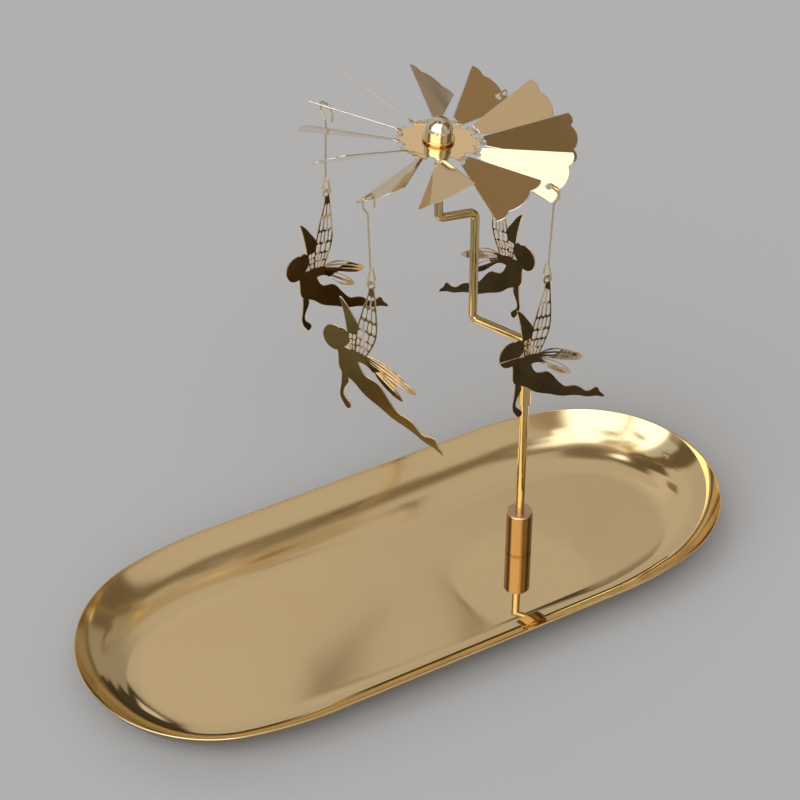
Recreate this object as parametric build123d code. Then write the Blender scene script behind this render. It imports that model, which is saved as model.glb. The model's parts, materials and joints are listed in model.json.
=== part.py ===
from build123d import *
import os
from math import atan2, cos, degrees, radians, sin

# Angel chime carousel: an oval tray, a magnetic post with a cranked swivelling mast,
# and a twelve-blade heat fan that turns on a needle point and carries four hanging fairies.
# Millimetres. Origin: underside of the tray, at its centre. +X along the tray towards the post,
# +Y to the back, +Z up.

# Tray, pressed from one sheet
tray_length = 230.0
tray_width = 95.0
tray_height = 14.0
tray_sheet = 0.6
tray_rim_run = 20.5
# The tip is rounder than a half circle of the tray's width by this step
tray_tip_step = 2.2
tray_end_reach = 63.0

# Post: socket, magnet, lower rod
post_x = 41.9
post_y = -0.9
socket_diameter = 8.8
socket_height = 17.0
socket_bore_depth = 9.0
socket_edge = 0.35
rod_diameter = 2.8
rod_tip_edge = 0.3
rod_length = 63.0
rod_seat_fit = 0.03
magnet_diameter = 6.4
magnet_height = 2.8
magnet_fit = 0.05

# Mast: slip sleeve, cranked rod, needle
sleeve_diameter = 3.9
sleeve_length = 18.0
sleeve_overlap = 9.0
sleeve_edge = 0.15
swivel_fit = 0.03
thrust_gap = 0.02
lower_arm_rise = 6.9
upper_arm_rise = 40.1
mast_head_rise = 24.7
crank_turn_x = 33.7
crank_turn_y = 18.3
fan_axis_x = 22.2
fan_axis_y = 21.1
crank_bend = 1.9
needle_diameter = 1.6
needle_seat = 6.0
needle_fit = 0.02
needle_shown = 9.5
needle_point_length = 3.2
needle_point_radius = 0.22

# Fan wheel: one etched sheet, the blades twisted at their necks
fan_sheet = 0.35
fan_tilt = 4.1
fan_below_tip = 6.4
blade_count = 12
blade_start_angle = 94.0
plate_radius = 12.7
relief_radius = 1.25
relief_circle = 11.9
neck_width = 3.0
neck_root = 11.4
neck_end = 14.4
neck_sheet = 0.3
blade_root = 13.6
blade_root_half = 1.75
blade_corner_radius = 40.0
blade_corner_half = 8.9
scallop_notch_radius = 40.5
scallop_notch_half = 4.3
small_scallop_rise = 0.95
large_scallop_rise = 1.55
# Each blade is set by hand, so its pitch, its lift above the plate and its turn in the plate
# differ a little (degrees).
blade_pitches = (41.0, 32.9, 34.9, 34.3, 32.9, 28.5, 31.8, 32.9, 28.0, 32.7, 32.9, 34.5)
blade_lifts = (0.0, 0.5, 6.4, 9.4, 2.7, 9.5, 0.3, -1.0, 3.5, 4.9, 0.5, -2.1)
blade_turns = (1.0, 0.0, -0.6, 0.6, 0.0, -2.1, 0.4, 0.0, 0.3, 0.4, 0.0, -2.3)
hanger_radius = 37.7
hanger_offset = 3.8
hanger_hole = 2.1
hanger_count = 4

# Hub: flanged ferrule, dome cap, bearing cup
plate_hole_radius = 3.0
ferrule_bore_radius = 2.2
ferrule_body_radius = 2.95
ferrule_flange_radius = 4.9
ferrule_flange_thickness = 0.6
ferrule_edge = 0.24
ferrule_shoulder_height = 0.5
ferrule_shoulder_radius = 4.0
ferrule_neck_height = 2.2
ferrule_lip_radius = 3.6
ferrule_lip_thickness = 0.4
cap_radius = 4.1
cap_wall = 0.5
cap_straight = 2.6
cap_fit = 0.03
cup_radius = 1.9
cup_cone_radius = 1.2
cup_cone_depth = 1.15
cup_tip_gap = 0.05

# Hanger hooks, bent by hand from fine wire, so their drops and the places where they bear differ
hook_wire = 0.6
hook_drops = (31.1, 30.1, 32.0, 31.1)
hook_bear_outs = (2.6, 1.0, 1.0, 1.4)
hook_turns = (-15.0, -10.0, -18.0, -12.0)
hook_kink_above = 5.6
hook_bends = (0.7, 0.9, 0.8, 1.0, 1.2, 1.4, 0.7, 0.7)
hook_pivot_up = 0.5
# Route of the wire, outward and up from the middle of the hanger hole
hook_tail = (-0.7, -4.3)
hook_tail_turn = (-0.75, -1.65)
hook_rise = (0.45, 1.05)
hook_crest = (4.05, 1.05)
hook_fall = (4.35, -1.9)
hook_stem_top = (2.2, -5.0)
# Open eye at the foot of the wire, outward and up from where the fairy bears
eye_outer = 1.9
eye_inner = -1.9
eye_kink_out = 0.25
eye_end_out = -0.9
eye_end_up = 4.5

# Fairies, flat etched pieces
fairy_sheet = 0.35
fairy_size = 50.0
fairy_ring_radius = 1.5
fairy_hole_radius = 0.95
eye_play = 0.05
wing_web = 0.42
wing_edge = 0.36
# Direction of each fairy's feet in plan (degrees)
fairy_headings = (9.7, 300.7, 2.2, 105.7)

# Fairy outline, shares of fairy_size: towards the feet, and down from the hanging eye
body_shares = ((-0.222, 0.560), (-0.209, 0.630), (-0.196, 0.705), (-0.146, 0.744), (-0.096, 0.772),
               (-0.046, 0.818), (0.020, 0.860), (0.100, 0.898), (0.186, 0.944), (0.264, 0.968),
               (0.350, 1.004), (0.418, 1.036), (0.486, 1.056), (0.540, 1.078), (0.528, 1.054),
               (0.496, 1.018), (0.474, 0.980), (0.444, 0.976), (0.402, 0.982), (0.362, 0.956),
               (0.326, 0.922), (0.284, 0.898), (0.222, 0.880), (0.176, 0.840), (0.140, 0.796),
               (0.100, 0.742), (0.056, 0.706), (-0.006, 0.692), (-0.050, 0.650), (-0.074, 0.596),
               (-0.104, 0.550), (-0.170, 0.524))
arm_shares = ((-0.188, 0.690), (-0.184, 0.770), (-0.188, 0.840), (-0.192, 0.904), (-0.176, 0.944),
              (-0.156, 0.974), (-0.140, 0.990), (-0.116, 0.980), (-0.114, 0.956), (-0.138, 0.926),
              (-0.163, 0.896), (-0.158, 0.836), (-0.140, 0.740))
head_centre_share = (-0.237, 0.478)
head_radii_shares = (0.083, 0.093)
hair_centre_share = (-0.183, 0.455)
hair_radii_shares = (0.048, 0.070)
small_wing_left_shares = ((-0.212, 0.162), (-0.186, 0.244), (-0.166, 0.330), (-0.153, 0.400),
                          (-0.140, 0.480), (-0.126, 0.570))
small_wing_right_shares = ((-0.200, 0.160), (-0.158, 0.204), (-0.119, 0.260), (-0.080, 0.324),
                           (-0.078, 0.400), (-0.070, 0.580))
big_wing_left_shares = ((-0.014, 0.022), (-0.020, 0.080), (-0.046, 0.170), (-0.066, 0.254),
                        (-0.083, 0.326), (-0.094, 0.440), (-0.100, 0.590))
big_wing_right_shares = ((0.022, 0.022), (0.031, 0.080), (0.042, 0.170), (0.052, 0.270),
                         (0.052, 0.360), (0.034, 0.434), (-0.050, 0.600))
long_wing_top_shares = ((-0.080, 0.560), (0.016, 0.532), (0.090, 0.541), (0.200, 0.592), (0.304, 0.654))
long_wing_low_shares = ((-0.075, 0.590), (0.012, 0.586), (0.090, 0.618), (0.180, 0.662), (0.304, 0.703))
long_wing_tip_share = (0.336, 0.694)
short_wing_top_shares = ((-0.085, 0.570), (0.000, 0.585), (0.080, 0.624), (0.145, 0.668), (0.196, 0.712),
                         (0.236, 0.756))
short_wing_low_shares = ((-0.078, 0.606), (-0.020, 0.608), (0.040, 0.648), (0.096, 0.706), (0.156, 0.752),
                         (0.222, 0.782))
short_wing_tip_share = (0.250, 0.784)
# Wing cells: rows between these stations along the wing, with so many cells in each row
big_cell_station_shares = (0.09, 0.26, 0.43, 0.58, 0.70, 0.80, 0.89)
big_cell_counts = (2, 3, 4, 3, 4, 3)
small_cell_station_shares = (0.60, 0.70, 0.79, 0.88)
small_cell_counts = (2, 2, 2)
long_slot_ends_share = (0.22, 0.93)
short_slot_ends_share = (0.26, 0.92)
long_slots = 3
short_slots = 2
slot_fill_share = 0.62
cell_shoulder_share = 0.14

overrun = 1.0


def turned(radius, height, low=0.0):
    return Pos(0, 0, low) * Cylinder(radius, height, align=(Align.CENTER, Align.CENTER, Align.MIN))


def tray():
    """Floor and concave rim; the rim is swung or pushed round a floor edge of tangent arcs."""
    half_length = tray_length / 2
    half_width = tray_width / 2
    tip_radius = half_width - tray_tip_step
    inner_height = tray_height - tray_sheet * 0.5
    slope = 2 * degrees(atan2(inner_height, tray_rim_run))
    outer_bend = tray_rim_run / sin(radians(slope))
    blend_radius = ((tray_end_reach - tip_radius) ** 2 / tray_tip_step + tip_radius + half_width) / 2
    straight_half = half_length - tray_end_reach
    tip_x = half_length - tip_radius
    blend_y = half_width - blend_radius
    blend_sweep = degrees(atan2(tip_x - straight_half, -blend_y))

    def rim_section(floor_edge):
        """Rim section standing on the floor edge, which lies at x = floor_edge."""
        centre = (floor_edge, outer_bend)
        inner = CenterArc(centre, outer_bend - tray_sheet, 270, slope)
        outer = CenterArc(centre, outer_bend, 270, slope)
        foot = Line(inner @ 0, outer @ 0)
        lip = Line(inner @ 1, outer @ 1)
        return make_face(Curve() + [inner, outer, foot, lip])

    def swung(radius, x, y, start, sweep):
        section = Plane.XZ * rim_section(radius - tray_rim_run)
        return Pos(x, y, 0) * Rot(0, 0, start) * revolve(section, Axis.Z, sweep)

    tip_half = 90 - blend_sweep
    quarter_floor = make_face(Curve() + [
        Line((0, 0), (0, half_width - tray_rim_run)),
        Line((0, half_width - tray_rim_run), (straight_half, half_width - tray_rim_run)),
        CenterArc((straight_half, blend_y), blend_radius - tray_rim_run, 90 - blend_sweep, blend_sweep),
        CenterArc((tip_x, 0), tip_radius - tray_rim_run, 0, tip_half),
        Line((tip_x + tip_radius - tray_rim_run, 0), (0, 0))])
    floor = extrude(quarter_floor, tray_sheet)
    side_section = Plane.YZ * rim_section(half_width - tray_rim_run)
    side = extrude(side_section, straight_half)
    blend = swung(blend_radius, straight_half, blend_y, 90 - blend_sweep, blend_sweep)
    tip = swung(tip_radius, tip_x, 0, 0, tip_half)
    quarter = floor + side + blend + tip
    half = quarter + mirror(quarter, Plane.XZ)
    return half + mirror(half, Plane.YZ)


def at_post(shape):
    return Pos(post_x, post_y, tray_sheet) * shape


def base_socket():
    body = turned(socket_diameter / 2, socket_height)
    body = chamfer(body.edges().sort_by(Axis.Z)[-1], socket_edge)
    bore = turned(rod_diameter / 2 + rod_seat_fit, socket_bore_depth + overrun,
                  socket_height - socket_bore_depth)
    pocket = turned(magnet_diameter / 2 + magnet_fit, magnet_height + magnet_fit + overrun, -overrun)
    return at_post(body - bore - pocket)


def base_magnet():
    return at_post(turned(magnet_diameter / 2, magnet_height))


rod_foot_z = tray_sheet + socket_height - socket_bore_depth
rod_top_z = rod_foot_z + rod_length
sleeve_foot_z = rod_top_z - sleeve_overlap
lower_arm_z = sleeve_foot_z + sleeve_length + lower_arm_rise
upper_arm_z = lower_arm_z + upper_arm_rise
crank_top_z = upper_arm_z + mast_head_rise
needle_tip_z = crank_top_z + needle_shown


def lower_rod():
    rod = turned(rod_diameter / 2, rod_length)
    rod = chamfer(rod.edges().sort_by(Axis.Z)[-1], rod_tip_edge)
    return Pos(post_x, post_y, rod_foot_z) * rod


def rod_sleeve():
    sleeve = turned(sleeve_diameter / 2, sleeve_length)
    sleeve = chamfer(sleeve.edges(), sleeve_edge)
    bore = turned(rod_diameter / 2 + swivel_fit, sleeve_length + 2 * overrun, -overrun)
    return Pos(post_x, post_y, sleeve_foot_z) * (sleeve - bore)


def crank_rod():
    foot_z = rod_top_z + thrust_gap
    route = FilletPolyline([(post_x, post_y, foot_z), (post_x, post_y, lower_arm_z),
                            (crank_turn_x, crank_turn_y, lower_arm_z),
                            (crank_turn_x, crank_turn_y, upper_arm_z),
                            (fan_axis_x, fan_axis_y, upper_arm_z),
                            (fan_axis_x, fan_axis_y, crank_top_z)], radius=crank_bend)
    wire = sweep(Plane(route @ 0, z_dir=route % 0) * Circle(rod_diameter / 2), path=route)
    seat = Pos(fan_axis_x, fan_axis_y, 0) * turned(needle_diameter / 2 + needle_fit,
                                                   needle_seat + overrun, crank_top_z - needle_seat)
    return wire - seat


def pivot_needle():
    shank_radius = needle_diameter / 2
    foot = crank_top_z - needle_seat
    point_foot = needle_tip_z - needle_point_length
    side = Polyline((0, foot), (shank_radius, foot), (shank_radius, point_foot),
                    (needle_point_radius, needle_tip_z - needle_point_radius))
    nose = RadiusArc((needle_point_radius, needle_tip_z - needle_point_radius), (0, needle_tip_z),
                     -needle_point_radius)
    section = Plane.XZ * make_face(Curve() + [side, nose, Line((0, needle_tip_z), (0, foot))])
    return Pos(fan_axis_x, fan_axis_y, 0) * revolve(section, Axis.Z)


# The rotor's own frame: origin on the plate under the needle tip, tipped towards +X
rotor_place = (Pos(fan_axis_x, fan_axis_y, needle_tip_z) * Rot(0, fan_tilt, 0)
               * Pos(0, 0, -fan_below_tip))


def blade_angle(index):
    return blade_start_angle + index * 360 / blade_count


def hanger_blade(number):
    """Index of the blade that carries hook number, from the second blade on."""
    return 1 + number * blade_count // hanger_count


def blade_place(index):
    """Blade frame: x outwards along the blade, y across it towards its high edge, z off its face."""
    lift = Pos(blade_root, 0, 0) * Rot(0, -blade_lifts[index], 0) * Pos(-blade_root, 0, 0)
    turn = Rot(0, 0, blade_angle(index) + blade_turns[index])
    return turn * lift * Rot(blade_pitches[index], 0, 0)


def sheet_rise(start, end, rise):
    """Arc from start to end that bulges outwards by rise."""
    middle = (Vector(*start) + Vector(*end)) / 2
    across = (Vector(*end) - Vector(*start)).normalized()
    return ThreePointArc(start, (middle.X + across.Y * rise, middle.Y - across.X * rise), end)


def blade_sheet():
    low_corner = (blade_corner_radius, -blade_corner_half)
    low_notch = (scallop_notch_radius, -scallop_notch_half)
    high_notch = (scallop_notch_radius, scallop_notch_half)
    high_corner = (blade_corner_radius, blade_corner_half)
    outline = Curve() + [
        Line((blade_root, -blade_root_half), low_corner),
        sheet_rise(low_corner, low_notch, small_scallop_rise),
        sheet_rise(low_notch, high_notch, large_scallop_rise),
        sheet_rise(high_notch, high_corner, small_scallop_rise),
        Line(high_corner, (blade_root, blade_root_half)),
        Line((blade_root, blade_root_half), (blade_root, -blade_root_half))]
    return extrude(make_face(outline), fan_sheet / 2, both=True)


def neck(index):
    """Twisted neck, from flat in the plate to the blade's pitch."""
    section = Plane.YZ * Rectangle(neck_width, neck_sheet)
    inner = Rot(0, 0, blade_angle(index)) * Pos(neck_root, 0, 0) * section
    outer = blade_place(index) * Pos(neck_end, 0, 0) * section
    return loft([inner, outer], ruled=True)


def fan_wheel():
    plate = extrude(Circle(plate_radius), fan_sheet / 2, both=True)
    plate -= turned(plate_hole_radius, fan_sheet + 2 * overrun, -fan_sheet / 2 - overrun)
    for index in range(blade_count):
        gap_angle = blade_angle(index + 0.5)
        relief = Rot(0, 0, gap_angle) * Pos(relief_circle, 0, 0)
        plate -= relief * turned(relief_radius, fan_sheet + 2 * overrun, -fan_sheet / 2 - overrun)
    wheel = plate
    hanger_blades = [hanger_blade(number) for number in range(hanger_count)]
    for index in range(blade_count):
        blade = blade_sheet()
        if index in hanger_blades:
            hole = turned(hanger_hole / 2, fan_sheet + 2 * overrun, -fan_sheet / 2 - overrun)
            blade -= Pos(hanger_radius, -hanger_offset, 0) * hole
        wheel += blade_place(index) * blade
        wheel += neck(index)
    return rotor_place * wheel


def hub_ferrule():
    """Flanged ferrule through the plate, its lower lip rolled over under the sheet."""
    top = fan_sheet / 2
    body = turned(ferrule_body_radius, fan_sheet, -top)
    shoulder = turned(ferrule_shoulder_radius, ferrule_shoulder_height, top)
    flange = turned(ferrule_flange_radius, ferrule_flange_thickness, top + ferrule_shoulder_height)
    spigot = turned(cap_radius - cap_wall - cap_fit, ferrule_neck_height,
                    top + ferrule_shoulder_height + ferrule_flange_thickness)
    lip = turned(ferrule_lip_radius, ferrule_lip_thickness, -top - ferrule_lip_thickness)
    solid = body + shoulder + flange + spigot + lip
    rim = [edge for edge in solid.edges().filter_by(GeomType.CIRCLE)
           if abs(edge.radius - ferrule_flange_radius) < ferrule_edge]
    solid = fillet(rim, ferrule_edge)
    bore_foot = -top - ferrule_lip_thickness - overrun
    bore_top = top + ferrule_shoulder_height + ferrule_flange_thickness + ferrule_neck_height + overrun
    bore = turned(ferrule_bore_radius, bore_top - bore_foot, bore_foot)
    return rotor_place * (solid - bore)


cap_foot = fan_sheet / 2 + ferrule_shoulder_height + ferrule_flange_thickness


def dome(radius, straight):
    crown = Pos(0, 0, straight) * Sphere(radius) & turned(radius + overrun, radius + overrun, straight)
    return turned(radius, straight) + crown


def cap_dome():
    outer = dome(cap_radius, cap_straight)
    inner = dome(cap_radius - cap_wall, cap_straight)
    inner += turned(cap_radius - cap_wall, overrun, -overrun)
    return rotor_place * Pos(0, 0, cap_foot) * (outer - inner)


def bearing_cup():
    """Cup pressed into the crown of the cap; its cone sits on the needle point."""
    cone_top = fan_below_tip + cup_tip_gap
    cone_foot = cone_top - cup_cone_depth
    crown = Pos(0, 0, cap_foot + cap_straight) * Sphere(cap_radius - cap_wall)
    blank = turned(cup_radius, cap_radius + cap_straight, cone_foot) & crown
    cone = Pos(0, 0, cone_foot) * Cone(cup_cone_radius, needle_point_radius, cup_cone_depth,
                                       align=(Align.CENTER, Align.CENTER, Align.MIN))
    tip = Pos(0, 0, cone_top - needle_point_radius) * Sphere(needle_point_radius + cup_tip_gap)
    return rotor_place * (blank - cone - tip)


def hanger_hole_centre(index):
    return (rotor_place * blade_place(index) * Pos(hanger_radius, -hanger_offset, 0)).position


def hook_plane(number):
    """Upright plane of a hook, through the middle of its hanger hole: x outwards, y up."""
    hole = hanger_hole_centre(hanger_blade(number))
    radial = atan2(hole.Y - fan_axis_y, hole.X - fan_axis_x)
    heading = radial + radians(hook_turns[number])
    outward = Vector(cos(heading), sin(heading), 0)
    return Plane(origin=hole, x_dir=outward, z_dir=outward.cross(Vector(0, 0, 1)))


def hanger_hook(number):
    foot_up = -hook_drops[number]
    bear_out = hook_bear_outs[number]
    route = FilletPolyline([
        hook_tail, hook_tail_turn, hook_rise, hook_crest, hook_fall, hook_stem_top,
        (bear_out + eye_kink_out, foot_up + hook_kink_above),
        (bear_out + eye_outer, foot_up),
        (bear_out + eye_inner, foot_up),
        (bear_out + eye_end_out, foot_up + eye_end_up)], radius=hook_bends)
    wire = sweep(Plane(route @ 0, z_dir=route % 0) * Circle(hook_wire / 2), path=route)
    return hook_plane(number).location * wire


def from_shares(shares):
    return [(toward_feet * fairy_size, -down * fairy_size) for toward_feet, down in shares]


def closed_outline(points):
    return make_face(Spline(points, periodic=True))


def oval(centre_share, radii_shares):
    centre = from_shares([centre_share])[0]
    across, upright = (share * fairy_size for share in radii_shares)
    return Pos(*centre) * Ellipse(across, upright)


def sheet_between(left_shares, right_shares, tip_share=None):
    """Face between two smooth edges, closed by a tip point or straight across."""
    left = from_shares(left_shares)
    right = from_shares(right_shares)
    edges = [Spline(left), Spline(right), Line(left[0], right[0])]
    if tip_share is None:
        edges.append(Line(left[-1], right[-1]))
    else:
        tip = from_shares([tip_share])[0]
        edges.append(Line(left[-1], tip))
        edges.append(Line(tip, right[-1]))
    return make_face(Curve() + edges)


def between(left, right, along, across):
    start = left @ along
    return start + (right @ along - start) * across


def lattice_cells(left_shares, right_shares, station_shares, row_counts):
    """Six-sided cells in rows between two wing edges, a web apart and clear of the wing's rim."""
    left = Spline(from_shares(left_shares))
    right = Spline(from_shares(right_shares))
    web_along = wing_web / left.length
    cells = []
    for row, count in enumerate(row_counts):
        top, low = station_shares[row:row + 2]
        top += web_along / 2
        low -= web_along / 2
        middle = (top + low) / 2
        shoulder = (low - top) * cell_shoulder_share
        width = (right @ middle - left @ middle).length
        web_across = wing_web / width
        rim = wing_edge / width
        pitch = (1 - 2 * rim) / count
        for column in range(count):
            near = rim + column * pitch + web_across / 2
            far = rim + (column + 1) * pitch - web_across / 2
            centre = (near + far) / 2
            ring = [(top, centre), (top + shoulder, far), (low - shoulder, far),
                    (low, centre), (low - shoulder, near), (top + shoulder, near)]
            corners = [between(left, right, along, across) for along, across in ring]
            cells.append(make_face(Polyline(*corners, close=True)))
    return cells


def wing_slots(top_shares, low_shares, ends_share, rows):
    """Long narrow slots that follow the wing from root to tip."""
    top = Spline(from_shares(top_shares))
    low = Spline(from_shares(low_shares))
    start, stop = ends_share
    middle = (start + stop) / 2
    slots = []
    for row in range(rows):
        centre = (row + 0.5) / rows
        reach = slot_fill_share / rows / 2
        root = between(top, low, start, centre)
        tip = between(top, low, stop, centre)
        upper = ThreePointArc(root, between(top, low, middle, centre - reach), tip)
        lower = ThreePointArc(root, between(top, low, middle, centre + reach), tip)
        slots.append(make_face(Curve() + [upper, lower]))
    return slots


def fairy_sketch():
    figure = closed_outline(from_shares(body_shares))
    figure += closed_outline(from_shares(arm_shares))
    figure += oval(head_centre_share, head_radii_shares)
    figure += oval(hair_centre_share, hair_radii_shares)
    figure += sheet_between(small_wing_left_shares, small_wing_right_shares)
    figure += sheet_between(big_wing_left_shares, big_wing_right_shares)
    figure += sheet_between(long_wing_top_shares, long_wing_low_shares, long_wing_tip_share)
    figure += sheet_between(short_wing_top_shares, short_wing_low_shares, short_wing_tip_share)
    figure += Circle(fairy_ring_radius)
    figure -= lattice_cells(big_wing_left_shares, big_wing_right_shares,
                            big_cell_station_shares, big_cell_counts)
    figure -= lattice_cells(small_wing_left_shares, small_wing_right_shares,
                            small_cell_station_shares, small_cell_counts)
    figure -= wing_slots(long_wing_top_shares, long_wing_low_shares, long_slot_ends_share, long_slots)
    figure -= wing_slots(short_wing_top_shares, short_wing_low_shares, short_slot_ends_share, short_slots)
    figure -= Circle(fairy_hole_radius)
    return figure


def fairy_flat():
    """Flat fairy, turned about its bearing point until it hangs in balance."""
    flat = extrude(fairy_sketch(), fairy_sheet / 2, both=True)
    bearing = fairy_hole_radius - hook_wire / 2 - eye_play
    flat = Pos(0, -bearing, 0) * flat
    balance = flat.center(CenterOf.MASS)
    return Rot(0, 0, -90 - degrees(atan2(balance.Y, balance.X))) * flat


def fairy_bearing(number):
    plane = hook_plane(number)
    return plane.origin + plane.x_dir * hook_bear_outs[number] - Vector(0, 0, hook_drops[number])


def fairy(flat, number):
    heading = radians(fairy_headings[number])
    along = Vector(cos(heading), sin(heading), 0)
    upright = Plane(origin=fairy_bearing(number), x_dir=along, z_dir=along.cross(Vector(0, 0, 1)))
    return upright.location * flat


def main():
    os.makedirs("parts", exist_ok=True)
    nodes = {"tray": tray(), "base_socket": base_socket(), "base_magnet": base_magnet(),
             "lower_rod": lower_rod(), "rod_sleeve": rod_sleeve(), "crank_rod": crank_rod(),
             "pivot_needle": pivot_needle(), "fan_wheel": fan_wheel(), "hub_ferrule": hub_ferrule(),
             "cap_dome": cap_dome(), "bearing_cup": bearing_cup()}
    flat = fairy_flat()
    for number in range(hanger_count):
        nodes[f"hanger_hook_{number + 1}"] = hanger_hook(number)
        nodes[f"fairy_{number + 1}"] = fairy(flat, number)
    for name, solid in nodes.items():
        export_step(solid, f"parts/{name}.step")
    for number in range(hanger_count):
        plane = hook_plane(number)
        pivot = plane.origin + plane.x_dir * hook_bear_outs[number] + Vector(0, 0, hook_pivot_up)
        print("hook", number + 1, "pivot", pivot, "outward", plane.x_dir, "bearing", fairy_bearing(number))


main()
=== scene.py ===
import json
import math

import bmesh
import bpy
from mathutils import Matrix, Vector

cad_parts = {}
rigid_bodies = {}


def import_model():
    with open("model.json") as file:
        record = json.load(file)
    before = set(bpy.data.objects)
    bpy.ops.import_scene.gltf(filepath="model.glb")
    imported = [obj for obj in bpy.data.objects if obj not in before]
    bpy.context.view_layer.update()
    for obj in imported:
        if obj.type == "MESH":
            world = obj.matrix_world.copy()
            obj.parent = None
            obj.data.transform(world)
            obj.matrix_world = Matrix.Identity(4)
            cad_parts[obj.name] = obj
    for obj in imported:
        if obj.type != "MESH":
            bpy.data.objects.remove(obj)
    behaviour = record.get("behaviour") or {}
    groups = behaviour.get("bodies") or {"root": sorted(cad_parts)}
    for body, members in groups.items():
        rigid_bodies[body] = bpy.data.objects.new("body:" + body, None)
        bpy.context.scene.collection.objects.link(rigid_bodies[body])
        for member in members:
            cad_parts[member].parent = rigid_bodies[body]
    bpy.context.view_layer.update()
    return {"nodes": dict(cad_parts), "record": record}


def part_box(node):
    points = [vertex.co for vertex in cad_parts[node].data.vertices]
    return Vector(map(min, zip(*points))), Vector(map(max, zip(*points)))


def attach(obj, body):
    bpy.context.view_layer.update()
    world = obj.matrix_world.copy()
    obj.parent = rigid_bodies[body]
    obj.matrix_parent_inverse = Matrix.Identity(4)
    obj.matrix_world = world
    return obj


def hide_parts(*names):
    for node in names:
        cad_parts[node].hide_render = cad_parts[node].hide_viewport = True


# The start-up scene's own cube, lamp and camera go
for leftOver in list(bpy.data.objects):
    bpy.data.objects.remove(leftOver)

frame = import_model()
nodes = frame["nodes"]
mm = 0.001        # all lengths below are in metres


# Camera, at the photograph's viewing angle: back points from the target to the camera, roll in degrees

cameraPlace = dict(target=(49.081 * mm, 90.288 * mm, 0.0), back=(-0.39829, -0.68122, 0.61425),
                   distance=839.834 * mm, lens=103.5, sensor=36.0, roll=0.072,
                   clipStart=0.01, clipEnd=50.0)


def makeCamera(place):
    data = bpy.data.cameras.new("photoCamera")
    data.lens = place["lens"]
    data.sensor_width = place["sensor"]
    data.clip_start = place["clipStart"]
    data.clip_end = place["clipEnd"]
    camera = bpy.data.objects.new("photoCamera", data)
    bpy.context.scene.collection.objects.link(camera)
    back = Vector(place["back"]).normalized()
    roll = Matrix.Rotation(math.radians(place["roll"]), 4, "Z").to_quaternion()
    camera.rotation_mode = "QUATERNION"
    camera.rotation_quaternion = back.to_track_quat("Z", "Y") @ roll
    camera.location = Vector(place["target"]) + back * place["distance"]
    bpy.context.scene.camera = camera


makeCamera(cameraPlace)
bpy.context.scene.view_settings.view_transform = "Standard"
print("camera in place")


# Small helpers for node trees

# A node with its settings; each input takes either a value or another node's socket
def addNode(tree, kind, inputs=None, **settings):
    node = tree.nodes.new(kind)
    for key, value in settings.items():
        setattr(node, key, value)
    for key, value in (inputs or {}).items():
        socket = node.inputs[key]
        if isinstance(value, bpy.types.NodeSocket):
            tree.links.new(value, socket)
        else:
            socket.default_value = value
    return node


# A shader node group with its input and output nodes
def newGroup(name, inputs, outputs):
    group = bpy.data.node_groups.new(name, "ShaderNodeTree")
    for label, kind, default in inputs:
        socket = group.interface.new_socket(name=label, in_out="INPUT", socket_type=kind)
        if default is not None:
            socket.default_value = default
    for label, kind in outputs:
        group.interface.new_socket(name=label, in_out="OUTPUT", socket_type=kind)
    return group, addNode(group, "NodeGroupInput"), addNode(group, "NodeGroupOutput")


def mathNode(tree, operation, first, second=None, third=None, clamp=False):
    inputs = {0: first}
    if second is not None:
        inputs[1] = second
    if third is not None:
        inputs[2] = third
    return addNode(tree, "ShaderNodeMath", inputs, operation=operation, use_clamp=clamp).outputs[0]


# The Mix node's colour sockets share their names with its other sockets, so they go by number
mixSockets = dict(factor=0, first=6, second=7, result=2)


def mixColour(tree, factor, first, second):
    inputs = {mixSockets["factor"]: factor, mixSockets["first"]: first, mixSockets["second"]: second}
    return addNode(tree, "ShaderNodeMix", inputs, data_type="RGBA").outputs[mixSockets["result"]]


# Studio: a world of soft panels above a plain pale floor

halfTurn = 180.0


# Mask of one soft panel: where a direction's azimuth and elevation, in degrees, fall inside it
def makePanelGroup():
    labels = ("Azimuth", "Elevation", "Middle", "Half Width", "Low", "High", "Softness")
    group, given, result = newGroup("studioPanel", [(label, "NodeSocketFloat", 0.0) for label in labels],
                                    [("Mask", "NodeSocketFloat")])
    azimuth, elevation, middle, halfWidth, low, high, softness = [given.outputs[label]
                                                                  for label in labels]
    away = mathNode(group, "WRAP", mathNode(group, "SUBTRACT", azimuth, middle), halfTurn, -halfTurn)

    # sign 1.0 rises past the limit, sign -1.0 falls
    def fade(value, limit, sign):
        before = mathNode(group, "MULTIPLY_ADD", softness, -sign, limit)
        beyond = mathNode(group, "MULTIPLY_ADD", softness, sign, limit)
        return addNode(group, "ShaderNodeMapRange", {"Value": value, "From Min": before,
                                                     "From Max": beyond},
                       interpolation_type="SMOOTHSTEP").outputs["Result"]

    across = fade(mathNode(group, "ABSOLUTE", away), halfWidth, -1.0)
    upright = mathNode(group, "MULTIPLY", fade(elevation, low, 1.0), fade(elevation, high, -1.0))
    group.links.new(mathNode(group, "MULTIPLY", across, upright), result.inputs["Mask"])
    return group


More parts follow.
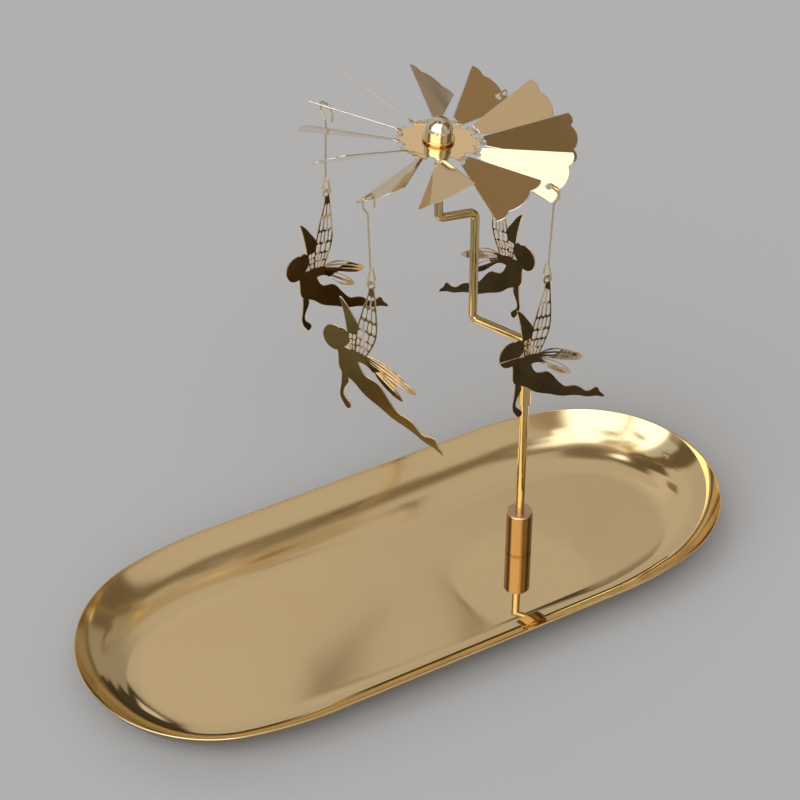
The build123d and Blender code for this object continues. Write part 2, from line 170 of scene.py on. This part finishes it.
# Each panel: middle azimuth, half width, low and high elevation and edge softness in degrees, then
# brightness and tint; a later panel covers the ones before it
warm = (1.0, 0.88, 0.77)
brown = (1.0, 0.75, 0.48)
white = (1.0, 0.99, 0.97)
studio = dict(
    base=0.32,
    panels=[
        # ceiling, back wall and the lighter band over it
        dict(middle=0, halfWidth=190, low=77, high=100, softness=2, strength=0.18, tint=brown),
        dict(middle=97, halfWidth=39, low=-30, high=65, softness=3, strength=0.48, tint=warm),
        dict(middle=97, halfWidth=38, low=27, high=66, softness=6, strength=0.53, tint=warm),
        dict(middle=86, halfWidth=34, low=48, high=58, softness=3, strength=0.60, tint=warm),
        dict(middle=13, halfWidth=5, low=21, high=31, softness=2, strength=0.27, tint=brown),
        dict(middle=22, halfWidth=26, low=47, high=64, softness=7, strength=0.44, tint=warm),
        dict(middle=26, halfWidth=65, low=54, high=77, softness=2.5, strength=0.51, tint=warm),
        dict(middle=53, halfWidth=7, low=26, high=62, softness=2.5, strength=0.51, tint=warm),
        # dark gap at the left of the back wall
        dict(middle=130, halfWidth=32, low=62, high=80, softness=3, strength=0.12, tint=brown),
        dict(middle=141, halfWidth=20, low=49, high=68, softness=3, strength=0.12, tint=brown),
        dict(middle=147, halfWidth=10, low=-30, high=60, softness=3, strength=0.14, tint=brown),
        dict(middle=162, halfWidth=7, low=14, high=54, softness=2, strength=0.50, tint=white),
        # right-hand side: dark corner, grey screen, dark gap beside the main light
        dict(middle=-22, halfWidth=22, low=-30, high=33, softness=2, strength=0.15, tint=brown),
        dict(middle=-31, halfWidth=20, low=30, high=53, softness=2.5, strength=0.17, tint=brown),
        dict(middle=-57, halfWidth=15, low=44, high=73, softness=3, strength=0.20, tint=brown),
        dict(middle=-93, halfWidth=13, low=-10, high=46, softness=3, strength=0.32, tint=brown),
        dict(middle=-64, halfWidth=18, low=3, high=45, softness=3, strength=0.52, tint=warm),
        # small dark screens in front of the back wall, with a lit gap for the underside of the fan
        dict(middle=107, halfWidth=6, low=43, high=51, softness=2, strength=0.24, tint=brown),
        dict(middle=50, halfWidth=20, low=1.2, high=13, softness=0.6, strength=0.05, tint=brown),
        dict(middle=47, halfWidth=14, low=12, high=19, softness=1.5, strength=0.05, tint=brown),
        dict(middle=50, halfWidth=10.5, low=18, high=27, softness=1.5, strength=0.06, tint=brown),
        dict(middle=53.5, halfWidth=7.5, low=25, high=36, softness=1.5, strength=0.06, tint=brown),
        dict(middle=54.8, halfWidth=3.4, low=24.6, high=31.6, softness=1.6, strength=0.66, tint=warm),
        dict(middle=36, halfWidth=4, low=-2, high=-0.35, softness=0.15, strength=0.05, tint=brown),
        # main light, its slanting right edge, and a small light overhead
        dict(middle=-113, halfWidth=12, low=2, high=60, softness=4, strength=1.15, tint=white),
        dict(middle=211, halfWidth=42, low=3, high=70, softness=2.5, strength=1.9, tint=white),
        dict(middle=-97, halfWidth=10, low=41, high=70, softness=3, strength=1.6, tint=white),
        dict(middle=-84, halfWidth=9, low=50, high=69, softness=3, strength=1.5, tint=white),
        dict(middle=-72, halfWidth=10, low=58, high=68, softness=3, strength=1.4, tint=white),
        dict(middle=139, halfWidth=16, low=73, high=80, softness=1.5, strength=1.8, tint=white),
    ],
    floorColour=(0.61, 0.635, 0.67),
    floorRoughness=0.9,
    floorGloss=0.1,
    floorSize=16.0,
    floorDrop=0.05 * mm,        # under the tray, so the two never share a plane
)


def makeWorld(look):
    world = bpy.data.worlds.new("softStudio")
    bpy.context.scene.world = world
    world.use_nodes = True
    tree = world.node_tree
    panelGroup = makePanelGroup()
    direction = addNode(tree, "ShaderNodeTexCoord").outputs["Generated"]
    parts = addNode(tree, "ShaderNodeSeparateXYZ", {0: direction})
    azimuth = mathNode(tree, "DEGREES", mathNode(tree, "ARCTAN2", parts.outputs["Y"], parts.outputs["X"]))
    elevation = mathNode(tree, "DEGREES", mathNode(tree, "ARCSINE", parts.outputs["Z"]))
    light = [look["base"] * part for part in warm] + [1.0]
    for panel in look["panels"]:
        mask = addNode(tree, "ShaderNodeGroup", node_tree=panelGroup)
        tree.links.new(azimuth, mask.inputs["Azimuth"])
        tree.links.new(elevation, mask.inputs["Elevation"])
        for label, key in (("Middle", "middle"), ("Half Width", "halfWidth"), ("Low", "low"),
                           ("High", "high"), ("Softness", "softness")):
            mask.inputs[label].default_value = panel[key]
        glow = [panel["strength"] * part for part in panel["tint"]] + [1.0]
        light = mixColour(tree, mask.outputs["Mask"], light, glow)
    tree.links.new(light, tree.nodes["Background"].inputs["Color"])


def makeFloor(look):
    half = look["floorSize"] / 2
    mesh = bpy.data.meshes.new("floor")
    corners = [(-half, -half), (half, -half), (half, half), (-half, half)]
    mesh.from_pydata([(x, y, -look["floorDrop"]) for x, y in corners], [], [(0, 1, 2, 3)])
    floor = bpy.data.objects.new("floor", mesh)
    bpy.context.scene.collection.objects.link(floor)
    material = bpy.data.materials.new("paleFloor")
    material.use_nodes = True
    surface = material.node_tree.nodes["Principled BSDF"]
    surface.inputs["Base Color"].default_value = (*look["floorColour"], 1.0)
    surface.inputs["Roughness"].default_value = look["floorRoughness"]
    surface.inputs["Specular IOR Level"].default_value = look["floorGloss"]
    mesh.materials.append(material)


makeWorld(studio)
makeFloor(studio)
print("studio lit")


# Tray: its floor and concave rim follow one outline of straight sides and tangent arcs

# rimRun: width of the rim; tipStep: how much less the ends' radius is than half the width;
# endReach: length of each rounded end; lipShare: share of the sheet that the lip takes off the rim's rise
trayShape = dict(sheet=0.6 * mm, rimRun=20.5 * mm, tipStep=2.2 * mm, endReach=63.0 * mm, lipShare=0.38,
                 sideSteps=24, blendSteps=24, tipSteps=56, rimSteps=40, lipSteps=6)


# Pairs of edge point and outward normal, once round the tray
def trayOutline(shape):
    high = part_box("tray")[1]
    halfLength = high.x
    halfWidth = high.y
    tipRadius = halfWidth - shape["tipStep"]
    tipX = halfLength - tipRadius
    straightHalf = halfLength - shape["endReach"]
    blendRun = shape["endReach"] - tipRadius
    blendRadius = (blendRun ** 2 / shape["tipStep"] + tipRadius + halfWidth) / 2
    blendY = halfWidth - blendRadius
    blendSweep = math.atan2(tipX - straightHalf, -blendY)
    quarter = []
    for step in range(shape["sideSteps"]):
        along = straightHalf * step / shape["sideSteps"]
        quarter.append((Vector((along, halfWidth)), Vector((0.0, 1.0))))
    for step in range(shape["blendSteps"]):
        turn = blendSweep * step / shape["blendSteps"]
        normal = Vector((math.sin(turn), math.cos(turn)))
        quarter.append((Vector((straightHalf, blendY)) + normal * blendRadius, normal))
    for step in range(shape["tipSteps"] + 1):
        turn = blendSweep + (math.pi / 2 - blendSweep) * step / shape["tipSteps"]
        normal = Vector((math.sin(turn), math.cos(turn)))
        quarter.append((Vector((tipX, 0.0)) + normal * tipRadius, normal))

    def flipped(pairs, x, y):
        return [(Vector((p.x * x, p.y * y)), Vector((n.x * x, n.y * y))) for p, n in pairs]

    right = quarter + flipped(quarter[-2::-1], 1, -1)
    return right + flipped(right[-2:0:-1], -1, 1)


# Rows of inset from the edge, height, normal outwards and normal upwards, from the inner floor
# over the lip to the underside
def trayProfile(shape):
    low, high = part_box("tray")
    sheet = shape["sheet"]
    rimRun = shape["rimRun"]
    bodyHeight = high.z - low.z
    slope = 2 * math.atan2(bodyHeight - sheet * shape["lipShare"], rimRun)
    bend = rimRun / math.sin(slope)
    lipTurn = slope - sheet / 2 / bend
    inner = bend - sheet
    middle = bend - sheet / 2
    points = []
    for step in range(shape["rimSteps"] + 1):
        turn = lipTurn * step / shape["rimSteps"]
        points.append((rimRun - inner * math.sin(turn), bend - inner * math.cos(turn),
                       -math.sin(turn), math.cos(turn)))
    lipInset = rimRun - middle * math.sin(lipTurn)
    lipHeight = bend - middle * math.cos(lipTurn)
    for step in range(1, shape["lipSteps"]):
        turn = lipTurn + math.pi / 2 - math.pi * step / shape["lipSteps"]
        outwards, upwards = math.cos(turn), math.sin(turn)
        points.append((lipInset - sheet / 2 * outwards, lipHeight + sheet / 2 * upwards,
                       outwards, upwards))
    for step in range(shape["rimSteps"] + 1):
        turn = lipTurn * (1 - step / shape["rimSteps"])
        points.append((rimRun - bend * math.sin(turn), bend - bend * math.cos(turn),
                       math.sin(turn), -math.cos(turn)))
    return points


# One closed skin; its inside and lip take the first material, its outside the second, the same gilt metal
# darkened as painted shade
def makeTray(shape):
    outline = trayOutline(shape)
    profile = trayProfile(shape)
    vertices = []
    normals = []
    for edge, outward in outline:
        for inset, height, sideways, upwards in profile:
            place = edge - outward * inset
            vertices.append((place.x, place.y, height))
            normals.append((outward.x * sideways, outward.y * sideways, upwards))
    rows = len(outline)
    columns = len(profile)
    outsideStart = columns - 1 - shape["rimSteps"]
    faces = []
    outside = []
    for row in range(rows):
        after = (row + 1) % rows
        for column in range(columns - 1):
            faces.append((after * columns + column, after * columns + column + 1,
                          row * columns + column + 1, row * columns + column))
            outside.append(column >= outsideStart)
    faces.append([row * columns for row in reversed(range(rows))])
    faces.append([row * columns + columns - 1 for row in range(rows)])
    outside += [False, True]
    mesh = bpy.data.meshes.new("pressedTray")
    mesh.from_pydata(vertices, [], faces)
    for polygon, isOutside in zip(mesh.polygons, outside):
        polygon.use_smooth = True
        polygon.material_index = int(isOutside)
    mesh.normals_split_custom_set_from_vertices(normals)
    tray = bpy.data.objects.new("pressedTray", mesh)
    bpy.context.scene.collection.objects.link(tray)
    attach(tray, "root")
    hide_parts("tray")
    return tray


tray = makeTray(trayShape)
print("tray pressed")


# Post socket: a turned cylinder with eased ends, over the magnet and round the rod

# faceStart: the first length of the profile that takes the faced finish and its painted light, from the
# top edge inwards
socketShape = dict(pocketRadius=3.25 * mm, pocketHeight=2.85 * mm, boreRadius=1.43 * mm,
                   boreDepth=9.0 * mm, footEase=0.5 * mm, topEase=0.35 * mm, steps=96, faceStart=5)


# Each length of the profile has its own points, so the turned edges stay crisp
def makeSocket(shape):
    low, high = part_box("base_socket")
    middle = (low + high) / 2
    radius = (high.x - low.x) / 2
    pocketTop = low.z + shape["pocketHeight"]
    boreFloor = high.z - shape["boreDepth"]
    profile = [(0.0, pocketTop), (shape["pocketRadius"], pocketTop), (shape["pocketRadius"], low.z),
               (radius - shape["footEase"], low.z), (radius, low.z + shape["footEase"]),
               (radius, high.z - shape["topEase"]), (radius - shape["topEase"], high.z),
               (shape["boreRadius"], high.z), (shape["boreRadius"], boreFloor), (0.0, boreFloor)]
    vertices = []
    faces = []
    faceFinishAndLight = []
    steps = shape["steps"]
    for number, (start, end) in enumerate(zip(profile, profile[1:])):
        first = len(vertices)
        for step in range(steps):
            turn = 2 * math.pi * step / steps
            for reach, height in (start, end):
                vertices.append((middle.x + reach * math.cos(turn),
                                 middle.y + reach * math.sin(turn), height))
        for step in range(steps):
            after = (step + 1) % steps
            faces.append((first + 2 * step, first + 2 * after,
                          first + 2 * after + 1, first + 2 * step + 1))
            # Top lengths take the paler top material, painted light; the others the darkened side brass,
            # painted shade
            faceFinishAndLight.append(int(number >= shape["faceStart"]))
    mesh = bpy.data.meshes.new("turnedSocket")
    mesh.from_pydata(vertices, [], faces)
    for polygon, index in zip(mesh.polygons, faceFinishAndLight):
        polygon.use_smooth = True
        polygon.material_index = index
    socket = bpy.data.objects.new("turnedSocket", mesh)
    bpy.context.scene.collection.objects.link(socket)
    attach(socket, "root")
    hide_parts("base_socket")
    return socket


socket = makeSocket(socketShape)
print("socket turned")


# Etched sheet pieces: the CAD sheet with its cut edges eased and named apart from its faces

# merge: distance under which points are one; flatAngle: bend in degrees that still counts as flat;
# broadArea: least area of a sheet's own face; sameWay: cosine between normals that count as one;
# stripWidth: width up to which a face is a cut edge; spikeLimit: longest border, in rim widths
sheetDress = dict(merge=0.002 * mm, flatAngle=0.4, broadArea=20.0 * mm * mm, sameWay=0.9995,
                  stripWidth=0.45 * mm, spikeLimit=2)
fanEdge = dict(rim=0.2 * mm, drop=0.09 * mm)
fairyEdge = dict(rim=0.1 * mm, drop=0.06 * mm)


# Directions that the large flat faces of a sheet look in, opposite ones counted as one
def broadDirections(mesh, look):
    found = []
    for face in mesh.faces:
        for entry in found:
            if abs(entry[0].dot(face.normal)) > look["sameWay"]:
                entry[1] += face.calc_area()
                break
        else:
            found.append([face.normal.copy(), face.calc_area()])
    return [normal for normal, area in found if area > look["broadArea"]]


# Cuts a narrow border into each flat face and lowers its outer line, as etching leaves it
def easeEdges(mesh, directions, look, rim, drop):
    longest = look["spikeLimit"] * rim
    borders = set()
    for direction in directions:
        for outward in (direction, -direction):
            flat = [face for face in mesh.faces if outward.dot(face.normal) > look["sameWay"]]
            border = bmesh.ops.inset_region(mesh, faces=flat, thickness=rim, use_even_offset=True,
                                            use_boundary=True)["faces"]
            inner = {corner for face in flat for corner in face.verts}
            outer = {corner for face in border for corner in face.verts} - inner
            for corner in outer:
                for edge in corner.link_edges:
                    far = edge.other_vert(corner)
                    if far in inner and edge.calc_length() > longest:
                        far.co = corner.co + (far.co - corner.co).normalized() * longest
            for corner in outer:
                corner.co -= outward * drop
            borders.update(border)
    return borders


# True for the long narrow faces that a cut through the sheet leaves
def isStrip(face, look):
    return 2 * face.calc_area() < look["stripWidth"] * face.calc_perimeter()


def dressSheet(nodeName, body, slotName, faceMaterial, edgeMaterial, look, rim, drop):
    source = bmesh.new()
    source.from_mesh(nodes[nodeName].data)
    bmesh.ops.remove_doubles(source, verts=source.verts, dist=look["merge"])
    bmesh.ops.dissolve_limit(source, angle_limit=math.radians(look["flatAngle"]),
                             use_dissolve_boundaries=False, verts=source.verts, edges=source.edges)
    source.normal_update()
    borders = easeEdges(source, broadDirections(source, look), look, rim, drop)
    for face in source.faces:
        face.smooth = False
        # Eased borders and cut strips take the second material, paler: raw metal partly, painted
        # highlight partly
        face.material_index = int(face in borders or isStrip(face, look))
    bmesh.ops.triangulate(source, faces=[face for face in source.faces if len(face.verts) > 4])
    mesh = bpy.data.meshes.new(nodeName + "_sheet")
    source.to_mesh(mesh)
    source.free()
    mesh.materials.append(faceMaterial)
    mesh.materials.append(edgeMaterial)
    piece = bpy.data.objects.new(nodeName + "_sheet", mesh)
    bpy.context.scene.collection.objects.link(piece)
    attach(piece, body)
    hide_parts(nodeName)
    return piece


# Shared effects of the metals

# Slow unevenness of pressed or hand-bent metal, as a normal; Wave in metres from crest to crest
def makeUnevenGroup():
    group, given, result = newGroup("sheetUnevenness", [("Wave", "NodeSocketFloat", 0.03),
                                                        ("Depth", "NodeSocketFloat", 0.0001)],
                                    [("Normal", "NodeSocketVector")])
    place = addNode(group, "ShaderNodeTexCoord").outputs["Object"]
    scale = mathNode(group, "DIVIDE", 1.0, given.outputs["Wave"])
    noise = addNode(group, "ShaderNodeTexNoise", {"Vector": place, "Scale": scale, "Detail": 1.0,
                                                  "Roughness": 0.4})
    bump = addNode(group, "ShaderNodeBump", {"Strength": 1.0, "Distance": given.outputs["Depth"],
                                             "Height": noise.outputs["Fac"]})
    group.links.new(bump.outputs["Normal"], result.inputs["Normal"])
    return group


# Polishing lines along one direction, as a mask between 0 and 1
def makePolishGroup():
    group, given, result = newGroup("polishLines", [("Stretch", "NodeSocketVector", (1.0, 1.0, 1.0)),
                                                    ("Scale", "NodeSocketFloat", 900.0)],
                                    [("Lines", "NodeSocketFloat")])
    place = addNode(group, "ShaderNodeTexCoord").outputs["Object"]
    pulled = addNode(group, "ShaderNodeVectorMath", {0: place, 1: given.outputs["Stretch"]},
                     operation="MULTIPLY").outputs["Vector"]
    noise = addNode(group, "ShaderNodeTexNoise", {"Vector": pulled, "Scale": given.outputs["Scale"],
                                                  "Detail": 2.0, "Roughness": 0.6})
    lines = addNode(group, "ShaderNodeMapRange", {"Value": noise.outputs["Fac"],
                                                  "From Min": 0.35, "From Max": 0.7},
                    interpolation_type="SMOOTHSTEP")
    group.links.new(lines.outputs["Result"], result.inputs["Lines"])
    return group


# Breath and finger marks, as a mask between 0 and 1
def makeHandlingGroup():
    group, given, result = newGroup("handlingMarks", [("Scale", "NodeSocketFloat", 30.0),
                                                      ("Cover", "NodeSocketFloat", 0.5)],
                                    [("Marks", "NodeSocketFloat")])
    place = addNode(group, "ShaderNodeTexCoord").outputs["Object"]
    noise = addNode(group, "ShaderNodeTexNoise", {"Vector": place, "Scale": given.outputs["Scale"],
                                                  "Detail": 3.0, "Roughness": 0.55, "Distortion": 0.6})
    markless = 0.85        # noise level at which a cover of 0 begins
    markEdge = 0.3         # noise range over which a mark fades in
    low = mathNode(group, "SUBTRACT", markless, given.outputs["Cover"])
    high = mathNode(group, "ADD", low, markEdge)
    marks = addNode(group, "ShaderNodeMapRange", {"Value": noise.outputs["Fac"],
                                                  "From Min": low, "From Max": high},
                    interpolation_type="SMOOTHSTEP")
    group.links.new(marks.outputs["Result"], result.inputs["Marks"])
    return group


# Roughness added to a tray: its floor is dulled by what stands on it but bright round the post,
# and the rim is duller towards the back
def makeTrayWearGroup():
    group, given, result = newGroup("trayWear", [("Floor Height", "NodeSocketFloat", 0.001),
                                                 ("Bright Middle", "NodeSocketVector", (0.0, 0.0, 0.0)),
                                                 ("Bright Reach", "NodeSocketFloat", 0.02),
                                                 ("Dulled Floor", "NodeSocketFloat", 0.2),
                                                 ("Dulled Rim", "NodeSocketFloat", 0.1),
                                                 ("Rim Start", "NodeSocketFloat", 0.0),
                                                 ("Rim End", "NodeSocketFloat", 0.03)],
                                    [("Roughness", "NodeSocketFloat")])

    def ramp(value, start, end, first, last):
        return addNode(group, "ShaderNodeMapRange", {"Value": value, "From Min": start, "From Max": end,
                                                     "To Min": first, "To Max": last},
                       interpolation_type="SMOOTHSTEP").outputs["Result"]

    place = addNode(group, "ShaderNodeTexCoord").outputs["Object"]
    parts = addNode(group, "ShaderNodeSeparateXYZ", {0: place})
    away = addNode(group, "ShaderNodeVectorMath", {0: place, 1: given.outputs["Bright Middle"]},
                   operation="DISTANCE").outputs["Value"]
    fadeShare = 1.5        # the bright zone has faded out at this many times its reach
    footShare = 1.7        # the rim's own dulling is full at this many times the floor height
    reach = given.outputs["Bright Reach"]
    brightEnd = mathNode(group, "MULTIPLY", reach, fadeShare)
    floor = ramp(away, reach, brightEnd, 0.0, given.outputs["Dulled Floor"])
    rim = ramp(parts.outputs["Y"], given.outputs["Rim Start"], given.outputs["Rim End"], 0.0,
               given.outputs["Dulled Rim"])
    height = given.outputs["Floor Height"]
    rimFoot = mathNode(group, "MULTIPLY", height, footShare)
    group.links.new(ramp(parts.outputs["Z"], height, rimFoot, floor, rim), result.inputs["Roughness"])
    return group


effects = dict(uneven=makeUnevenGroup(), polish=makePolishGroup(), handling=makeHandlingGroup(),
               trayWear=makeTrayWearGroup())


# A polished or satin metal: two tones, roughness from marks and polishing lines, slow unevenness
def makeMetal(name, look):
    material = bpy.data.materials.new(name)
    material.use_nodes = True
    tree = material.node_tree
    surface = tree.nodes["Principled BSDF"]
    surface.inputs["Metallic"].default_value = 1.0
    surface.inputs["Anisotropic"].default_value = look.get("anisotropy", 0.0)
    handling = addNode(tree, "ShaderNodeGroup", node_tree=effects["handling"])
    handling.inputs["Scale"].default_value = look["markScale"]
    handling.inputs["Cover"].default_value = look["markCover"]
    polish = addNode(tree, "ShaderNodeGroup", node_tree=effects["polish"])
    polish.inputs["Stretch"].default_value = look["lineStretch"]
    polish.inputs["Scale"].default_value = look["lineScale"]
    marks = handling.outputs["Marks"]
    colour = mixColour(tree, marks, (*look["colour"], 1.0), (*look["deeper"], 1.0))
    tree.links.new(colour, surface.inputs["Base Color"])
    clean, marked, lined = look["roughness"]
    rough = mathNode(tree, "MULTIPLY_ADD", marks, marked, clean)
    rough = mathNode(tree, "MULTIPLY_ADD", polish.outputs["Lines"], lined, rough)
    if "trayWear" in look:
        wear = addNode(tree, "ShaderNodeGroup", node_tree=effects["trayWear"])
        for label, value in look["trayWear"].items():
            wear.inputs[label].default_value = value
        rough = mathNode(tree, "ADD", wear.outputs["Roughness"], rough)
    tree.links.new(rough, surface.inputs["Roughness"])
    uneven = addNode(tree, "ShaderNodeGroup", node_tree=effects["uneven"])
    uneven.inputs["Wave"].default_value = look["wave"]
    uneven.inputs["Depth"].default_value = look["depth"]
    tree.links.new(uneven.outputs["Normal"], surface.inputs["Normal"])
    return material


# colour and deeper: clean metal and its marks; roughness: clean metal, added by marks, added by
# polishing lines; wave and depth: slow unevenness, in metres
finishes = dict(
    tray_gilt=dict(colour=(0.90, 0.74, 0.44), deeper=(0.89, 0.72, 0.425), roughness=(0.035, 0.015, 0.01),
                   markScale=22.0, markCover=0.35, lineStretch=(0.06, 1.0, 1.0), lineScale=1400.0,
                   wave=75 * mm, depth=0.04 * mm,
                   trayWear={"Floor Height": 0.65 * mm, "Bright Middle": (34 * mm, -14 * mm, 0.6 * mm),
                             "Bright Reach": 18 * mm, "Dulled Floor": 0.15, "Dulled Rim": 0.12,
                             "Rim Start": -12 * mm, "Rim End": 30 * mm}),
    # The tray's outside: the same gilt metal darkened, painted shade
    tray_outside_painted_shade=dict(colour=(0.30, 0.19, 0.08), deeper=(0.25, 0.15, 0.06), roughness=(0.16, 0.04, 0.02),
                      markScale=22.0, markCover=0.35, lineStretch=(0.06, 1.0, 1.0), lineScale=1400.0,
                      wave=75 * mm, depth=0.03 * mm),
    # The socket's side: brass darkened below its own colour, painted shade
    socket_brass=dict(colour=(0.38, 0.23, 0.10), deeper=(0.33, 0.19, 0.075), roughness=(0.11, 0.04, 0.05),
                      markScale=160.0, markCover=0.4, lineStretch=(0.1, 0.1, 1.0), lineScale=9000.0,
                      wave=6 * mm, depth=0.002 * mm, anisotropy=0.2),
    # The socket's top face: a satin turned finish, coloured paler as painted light
    socket_face_with_painted_light=dict(colour=(0.76, 0.52, 0.38), deeper=(0.66, 0.42, 0.28), roughness=(0.3, 0.05, 0.07),
                     markScale=160.0, markCover=0.4, lineStretch=(1.0, 1.0, 0.1), lineScale=6000.0,
                     wave=6 * mm, depth=0.002 * mm),
    magnet_steel=dict(colour=(0.55, 0.55, 0.56), deeper=(0.48, 0.48, 0.50), roughness=(0.3, 0.05, 0.05),
                      markScale=200.0, markCover=0.4, lineStretch=(1.0, 1.0, 1.0), lineScale=2000.0,
                      wave=5 * mm, depth=0.002 * mm),
    # The rods' brass, darkened below its own colour: painted shade
    rod_brass=dict(colour=(0.62, 0.46, 0.22), deeper=(0.54, 0.37, 0.15), roughness=(0.045, 0.04, 0.03),
                   markScale=110.0, markCover=0.35, lineStretch=(1.0, 1.0, 0.05), lineScale=5000.0,
                   wave=14 * mm, depth=0.012 * mm),
    needle_steel=dict(colour=(0.72, 0.72, 0.73), deeper=(0.66, 0.66, 0.68), roughness=(0.12, 0.04, 0.04),
                      markScale=300.0, markCover=0.3, lineStretch=(1.0, 1.0, 0.1), lineScale=5000.0,
                      wave=5 * mm, depth=0.002 * mm),
    ferrule_gold=dict(colour=(0.84, 0.66, 0.34), deeper=(0.78, 0.56, 0.24), roughness=(0.10, 0.05, 0.02),
                      markScale=220.0, markCover=0.3, lineStretch=(0.1, 0.1, 1.0), lineScale=6000.0,
                      wave=5 * mm, depth=0.004 * mm),
    hub_brass=dict(colour=(0.86, 0.80, 0.60), deeper=(0.82, 0.72, 0.48), roughness=(0.14, 0.05, 0.02),
                   markScale=220.0, markCover=0.3, lineStretch=(0.1, 0.1, 1.0), lineScale=6000.0,
                   wave=5 * mm, depth=0.004 * mm),
    hook_wire=dict(colour=(0.80, 0.66, 0.40), deeper=(0.70, 0.54, 0.30), roughness=(0.2, 0.1, 0.05),
                   markScale=260.0, markCover=0.45, lineStretch=(1.0, 1.0, 0.1), lineScale=6000.0,
                   wave=7 * mm, depth=0.01 * mm),
    etched_brass=dict(colour=(0.90, 0.71, 0.43), deeper=(0.87, 0.66, 0.38), roughness=(0.06, 0.04, 0.02),
                      markScale=60.0, markCover=0.35, lineStretch=(0.08, 1.0, 1.0), lineScale=2600.0,
                      wave=26 * mm, depth=0.12 * mm),
    # Cut edges of the fan: raw metal, paler than the face, partly its own colour and partly painted
    # highlight
    cut_edge_and_painted_highlight=dict(colour=(0.85, 0.82, 0.80), deeper=(0.76, 0.71, 0.66), roughness=(0.3, 0.1, 0.05),
                  markScale=400.0, markCover=0.45, lineStretch=(1.0, 1.0, 1.0), lineScale=3000.0,
                  wave=4 * mm, depth=0.01 * mm),
    # Fairy bronze comes in two copies of one metal, for light and shade: this darker copy is painted
    # shade
    fairy_bronze=dict(colour=(0.085, 0.052, 0.018), deeper=(0.06, 0.034, 0.011),
                      roughness=(0.14, 0.08, 0.04),
                      markScale=120.0, markCover=0.45, lineStretch=(1.0, 1.0, 0.1), lineScale=4000.0,
                      wave=18 * mm, depth=0.08 * mm),
    # The paler copy of the same fairy bronze, for fairy 2 only: painted light
    fairy_bronze_painted_light=dict(colour=(0.22, 0.155, 0.055), deeper=(0.17, 0.115, 0.036),
                     roughness=(0.16, 0.08, 0.04),
                     markScale=120.0, markCover=0.45, lineStretch=(1.0, 1.0, 0.1), lineScale=4000.0,
                     wave=18 * mm, depth=0.06 * mm),
    # Cut edges of the fairies: raw metal, far paler than the faces, partly its own colour and partly
    # painted highlight
    bronze_edge_and_painted_highlight=dict(colour=(0.84, 0.66, 0.44), deeper=(0.62, 0.44, 0.24), roughness=(0.22, 0.1, 0.05),
                     markScale=300.0, markCover=0.4, lineStretch=(1.0, 1.0, 1.0), lineScale=3000.0,
                     wave=4 * mm, depth=0.01 * mm),
)
metals = {name: makeMetal(name, look) for name, look in finishes.items()}
print("metals mixed")


# Every piece and every CAD node gets its metal; a node's own finish comes before its slot's
ownFinish = dict(hub_ferrule="ferrule_gold")
# Fairy 2 takes the paler copy of the bronze, painted light; fairies 1, 3 and 4 the darker copy, painted
# shade
fairyLitAndShadedCopies = {1: "fairy_bronze", 2: "fairy_bronze_painted_light", 3: "fairy_bronze", 4: "fairy_bronze"}

# The tray's outside takes its darkened metal, painted shade
for piece, insideName, outsideName in ((tray, "tray_gilt", "tray_outside_painted_shade"),
                                       # The socket's side takes its brass darkened as painted shade, its
                                       # top face a paler copy as painted light
                                       (socket, "socket_brass", "socket_face_with_painted_light")):
    piece.data.materials.append(metals[insideName])
    piece.data.materials.append(metals[outsideName])
slotOf = {entry["node"]: entry["material_slot"] for entry in frame["record"]["subparts"]}
for name, node in nodes.items():
    node.data.materials.clear()
    node.data.materials.append(metals[ownFinish.get(name, slotOf[name])])
dressSheet("fan_wheel", "rotor", "etched_brass", metals["etched_brass"], metals["cut_edge_and_painted_highlight"],
           sheetDress, **fanEdge)
for number, faceName in fairyLitAndShadedCopies.items():
    dressSheet(f"fairy_{number}", f"hung_fairy_{number}", "fairy_bronze", metals[faceName],
               metals["bronze_edge_and_painted_highlight"], sheetDress, **fairyEdge)
print("sheets dressed")
